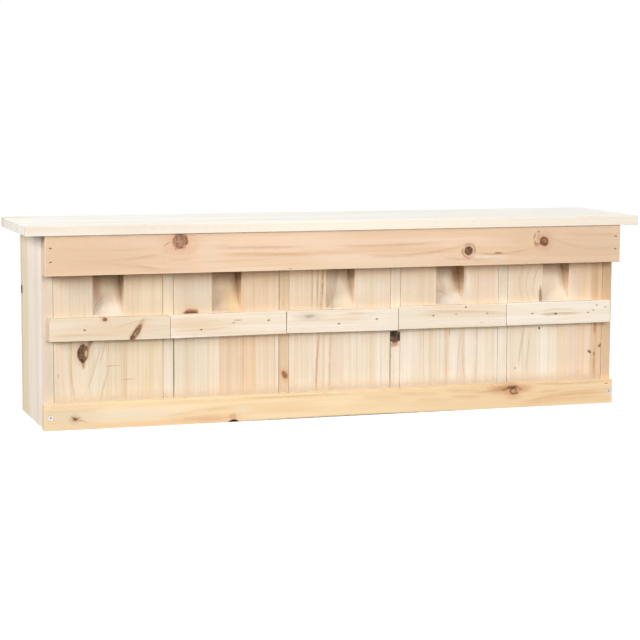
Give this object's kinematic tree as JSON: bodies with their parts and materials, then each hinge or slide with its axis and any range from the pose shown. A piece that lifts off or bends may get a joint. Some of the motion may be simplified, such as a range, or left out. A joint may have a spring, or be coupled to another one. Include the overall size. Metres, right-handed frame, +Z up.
{
  "type": "sparrow terrace nest box",
  "caption": "Long flat-roofed softwood nest box: a row of rooms with ramped entrance slots, landing battens, and loose front panels that tilt out once the bottom rail is off.",
  "frame": {"origin": "middle of the box's foot, under the middle of the whole box", "axes": "+X along the row, to the right as seen from the front; +Y towards the wall; +Z up"},
  "size_m": [0.68, 0.15, 0.21],
  "materials": {
    "roof_wood": "planed raw fir, pale, matte",
    "frame_wood": "planed raw fir, matte",
    "fascia_wood": "planed raw fir, peach heartwood, matte",
    "rail_wood": "planed raw fir, golden, matte",
    "panel_wood": "edge-glued raw fir strips, matte",
    "batten_wood": "planed raw fir, matte",
    "brad_steel": "bright steel brads, slightly dulled",
    "screw_steel": "bright zinc"
  },
  "bodies": {
    "box": {"roof": "roof_wood", "left_side": "frame_wood", "right_side": "frame_wood", "partition_1": "frame_wood", "partition_2": "frame_wood", "partition_3": "frame_wood", "partition_4": "frame_wood", "floor": "frame_wood", "back": "frame_wood", "fascia": "fascia_wood", "fascia_nails": "brad_steel", "roof_nails": "brad_steel", "back_nails": "brad_steel", "floor_nails": "brad_steel"},
    "rail": {"bottom_rail": "rail_wood", "rail_screws": "screw_steel"},
    "panel_1": {"front_panel_1": "panel_wood", "batten_1": "batten_wood", "batten_nails_1": "brad_steel"},
    "panel_2": {"front_panel_2": "panel_wood", "batten_2": "batten_wood", "batten_nails_2": "brad_steel"},
    "panel_3": {"front_panel_3": "panel_wood", "batten_3": "batten_wood", "batten_nails_3": "brad_steel"},
    "panel_4": {"front_panel_4": "panel_wood", "batten_4": "batten_wood", "batten_nails_4": "brad_steel"},
    "panel_5": {"front_panel_5": "panel_wood", "batten_5": "batten_wood", "batten_nails_5": "brad_steel"}
  },
  "joints": [
    {"name": "rail_slide", "type": "slide", "parent": "box", "child": "rail", "axis": [0, -1, 0], "range_m": [0, 0.12]},
    {"name": "panel_tilt_1", "type": "hinge", "parent": "box", "child": "panel_1", "pos_m": [-0.2516, -0.054, 0.159], "axis": [-1, 0, 0], "range_deg": [0, 28]},
    {"name": "panel_tilt_2", "type": "hinge", "parent": "box", "child": "panel_2", "pos_m": [-0.1258, -0.054, 0.159], "axis": [-1, 0, 0], "range_deg": [0, 28]},
    {"name": "panel_tilt_3", "type": "hinge", "parent": "box", "child": "panel_3", "pos_m": [0, -0.054, 0.159], "axis": [-1, 0, 0], "range_deg": [0, 28]},
    {"name": "panel_tilt_4", "type": "hinge", "parent": "box", "child": "panel_4", "pos_m": [0.1258, -0.054, 0.159], "axis": [-1, 0, 0], "range_deg": [0, 28]},
    {"name": "panel_tilt_5", "type": "hinge", "parent": "box", "child": "panel_5", "pos_m": [0.2516, -0.054, 0.159], "axis": [-1, 0, 0], "range_deg": [0, 28]}
  ],
  "couplings": [
    {"joint": "panel_tilt_1", "follows": "rail_slide", "rad_per_m": 4},
    {"joint": "panel_tilt_2", "follows": "rail_slide", "rad_per_m": 4},
    {"joint": "panel_tilt_3", "follows": "rail_slide", "rad_per_m": 4},
    {"joint": "panel_tilt_4", "follows": "rail_slide", "rad_per_m": 4},
    {"joint": "panel_tilt_5", "follows": "rail_slide", "rad_per_m": 4}
  ]
}
